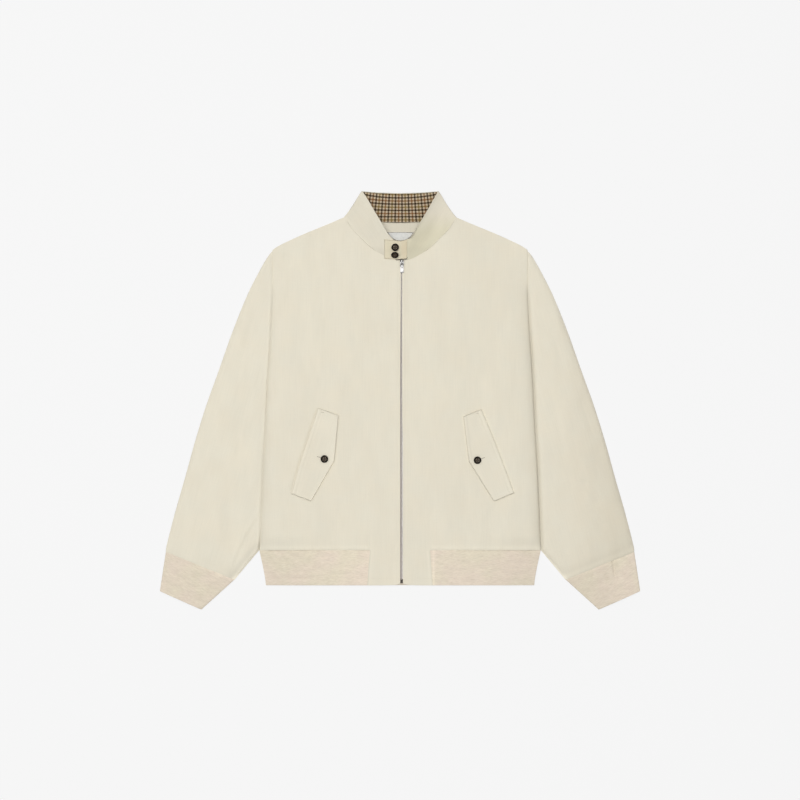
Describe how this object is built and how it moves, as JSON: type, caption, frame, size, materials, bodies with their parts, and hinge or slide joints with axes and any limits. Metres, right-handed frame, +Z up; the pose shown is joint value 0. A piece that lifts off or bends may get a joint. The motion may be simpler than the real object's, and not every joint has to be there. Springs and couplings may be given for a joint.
{
  "type": "harrington jacket",
  "caption": "Zipped harrington jacket laid flat, with stand collar, buttoned collar tab, slanted buttoned pocket flaps, check collar lining and rib knit cuffs and hem.",
  "frame": {"origin": "on the floor under the middle of the jacket's box", "axes": "+X across the jacket to the wearer's left, +Y from the hem to the collar, +Z up from the floor through the layers"},
  "size_m": [0.888, 0.773, 0.0182],
  "materials": {
    "shell": "pale stone cotton twill, matt, softly pressed",
    "rib": "melange rib knit, slightly pinker and darker than the shell",
    "check_lining": "woven check in tan, cream, rust and near black",
    "label": "white woven label, bare, with an overlocked grey-brown edge",
    "zip_tape": "grey-beige woven zip tape",
    "zip_metal": "polished nickel zip",
    "button": "near-black brown four-hole buttons, satin"
  },
  "bodies": {
    "jacket": {"back": "shell", "collar_back": "shell", "collar_front_left": "shell", "collar_front_right": "shell", "collar_lining": "check_lining", "collar_tab": "shell", "cuff_left": "rib", "cuff_right": "rib", "flap_button_left": "button", "flap_button_right": "button", "front_left": "shell", "front_right": "shell", "hem_rib_back": "rib", "hem_rib_left": "rib", "hem_rib_right": "rib", "neck_facing": "shell", "neck_label": "label", "pocket_flap_left": "shell", "pocket_flap_right": "shell", "sleeve_left": "shell", "sleeve_right": "shell", "tab_button_lower": "button", "tab_button_upper": "button", "zip_box": "zip_metal", "zip_chain": "zip_metal", "zip_slider": "zip_metal", "zip_tape_left": "zip_tape", "zip_tape_right": "zip_tape"},
    "pull": {"zip_pull": "zip_metal"}
  },
  "joints": [
    {"name": "pull_hinge", "type": "hinge", "parent": "jacket", "child": "pull", "pos_m": [0.0035, 0.2522, 0.0084], "axis": [-1, 0, 0], "range_deg": [0, 140]}
  ]
}
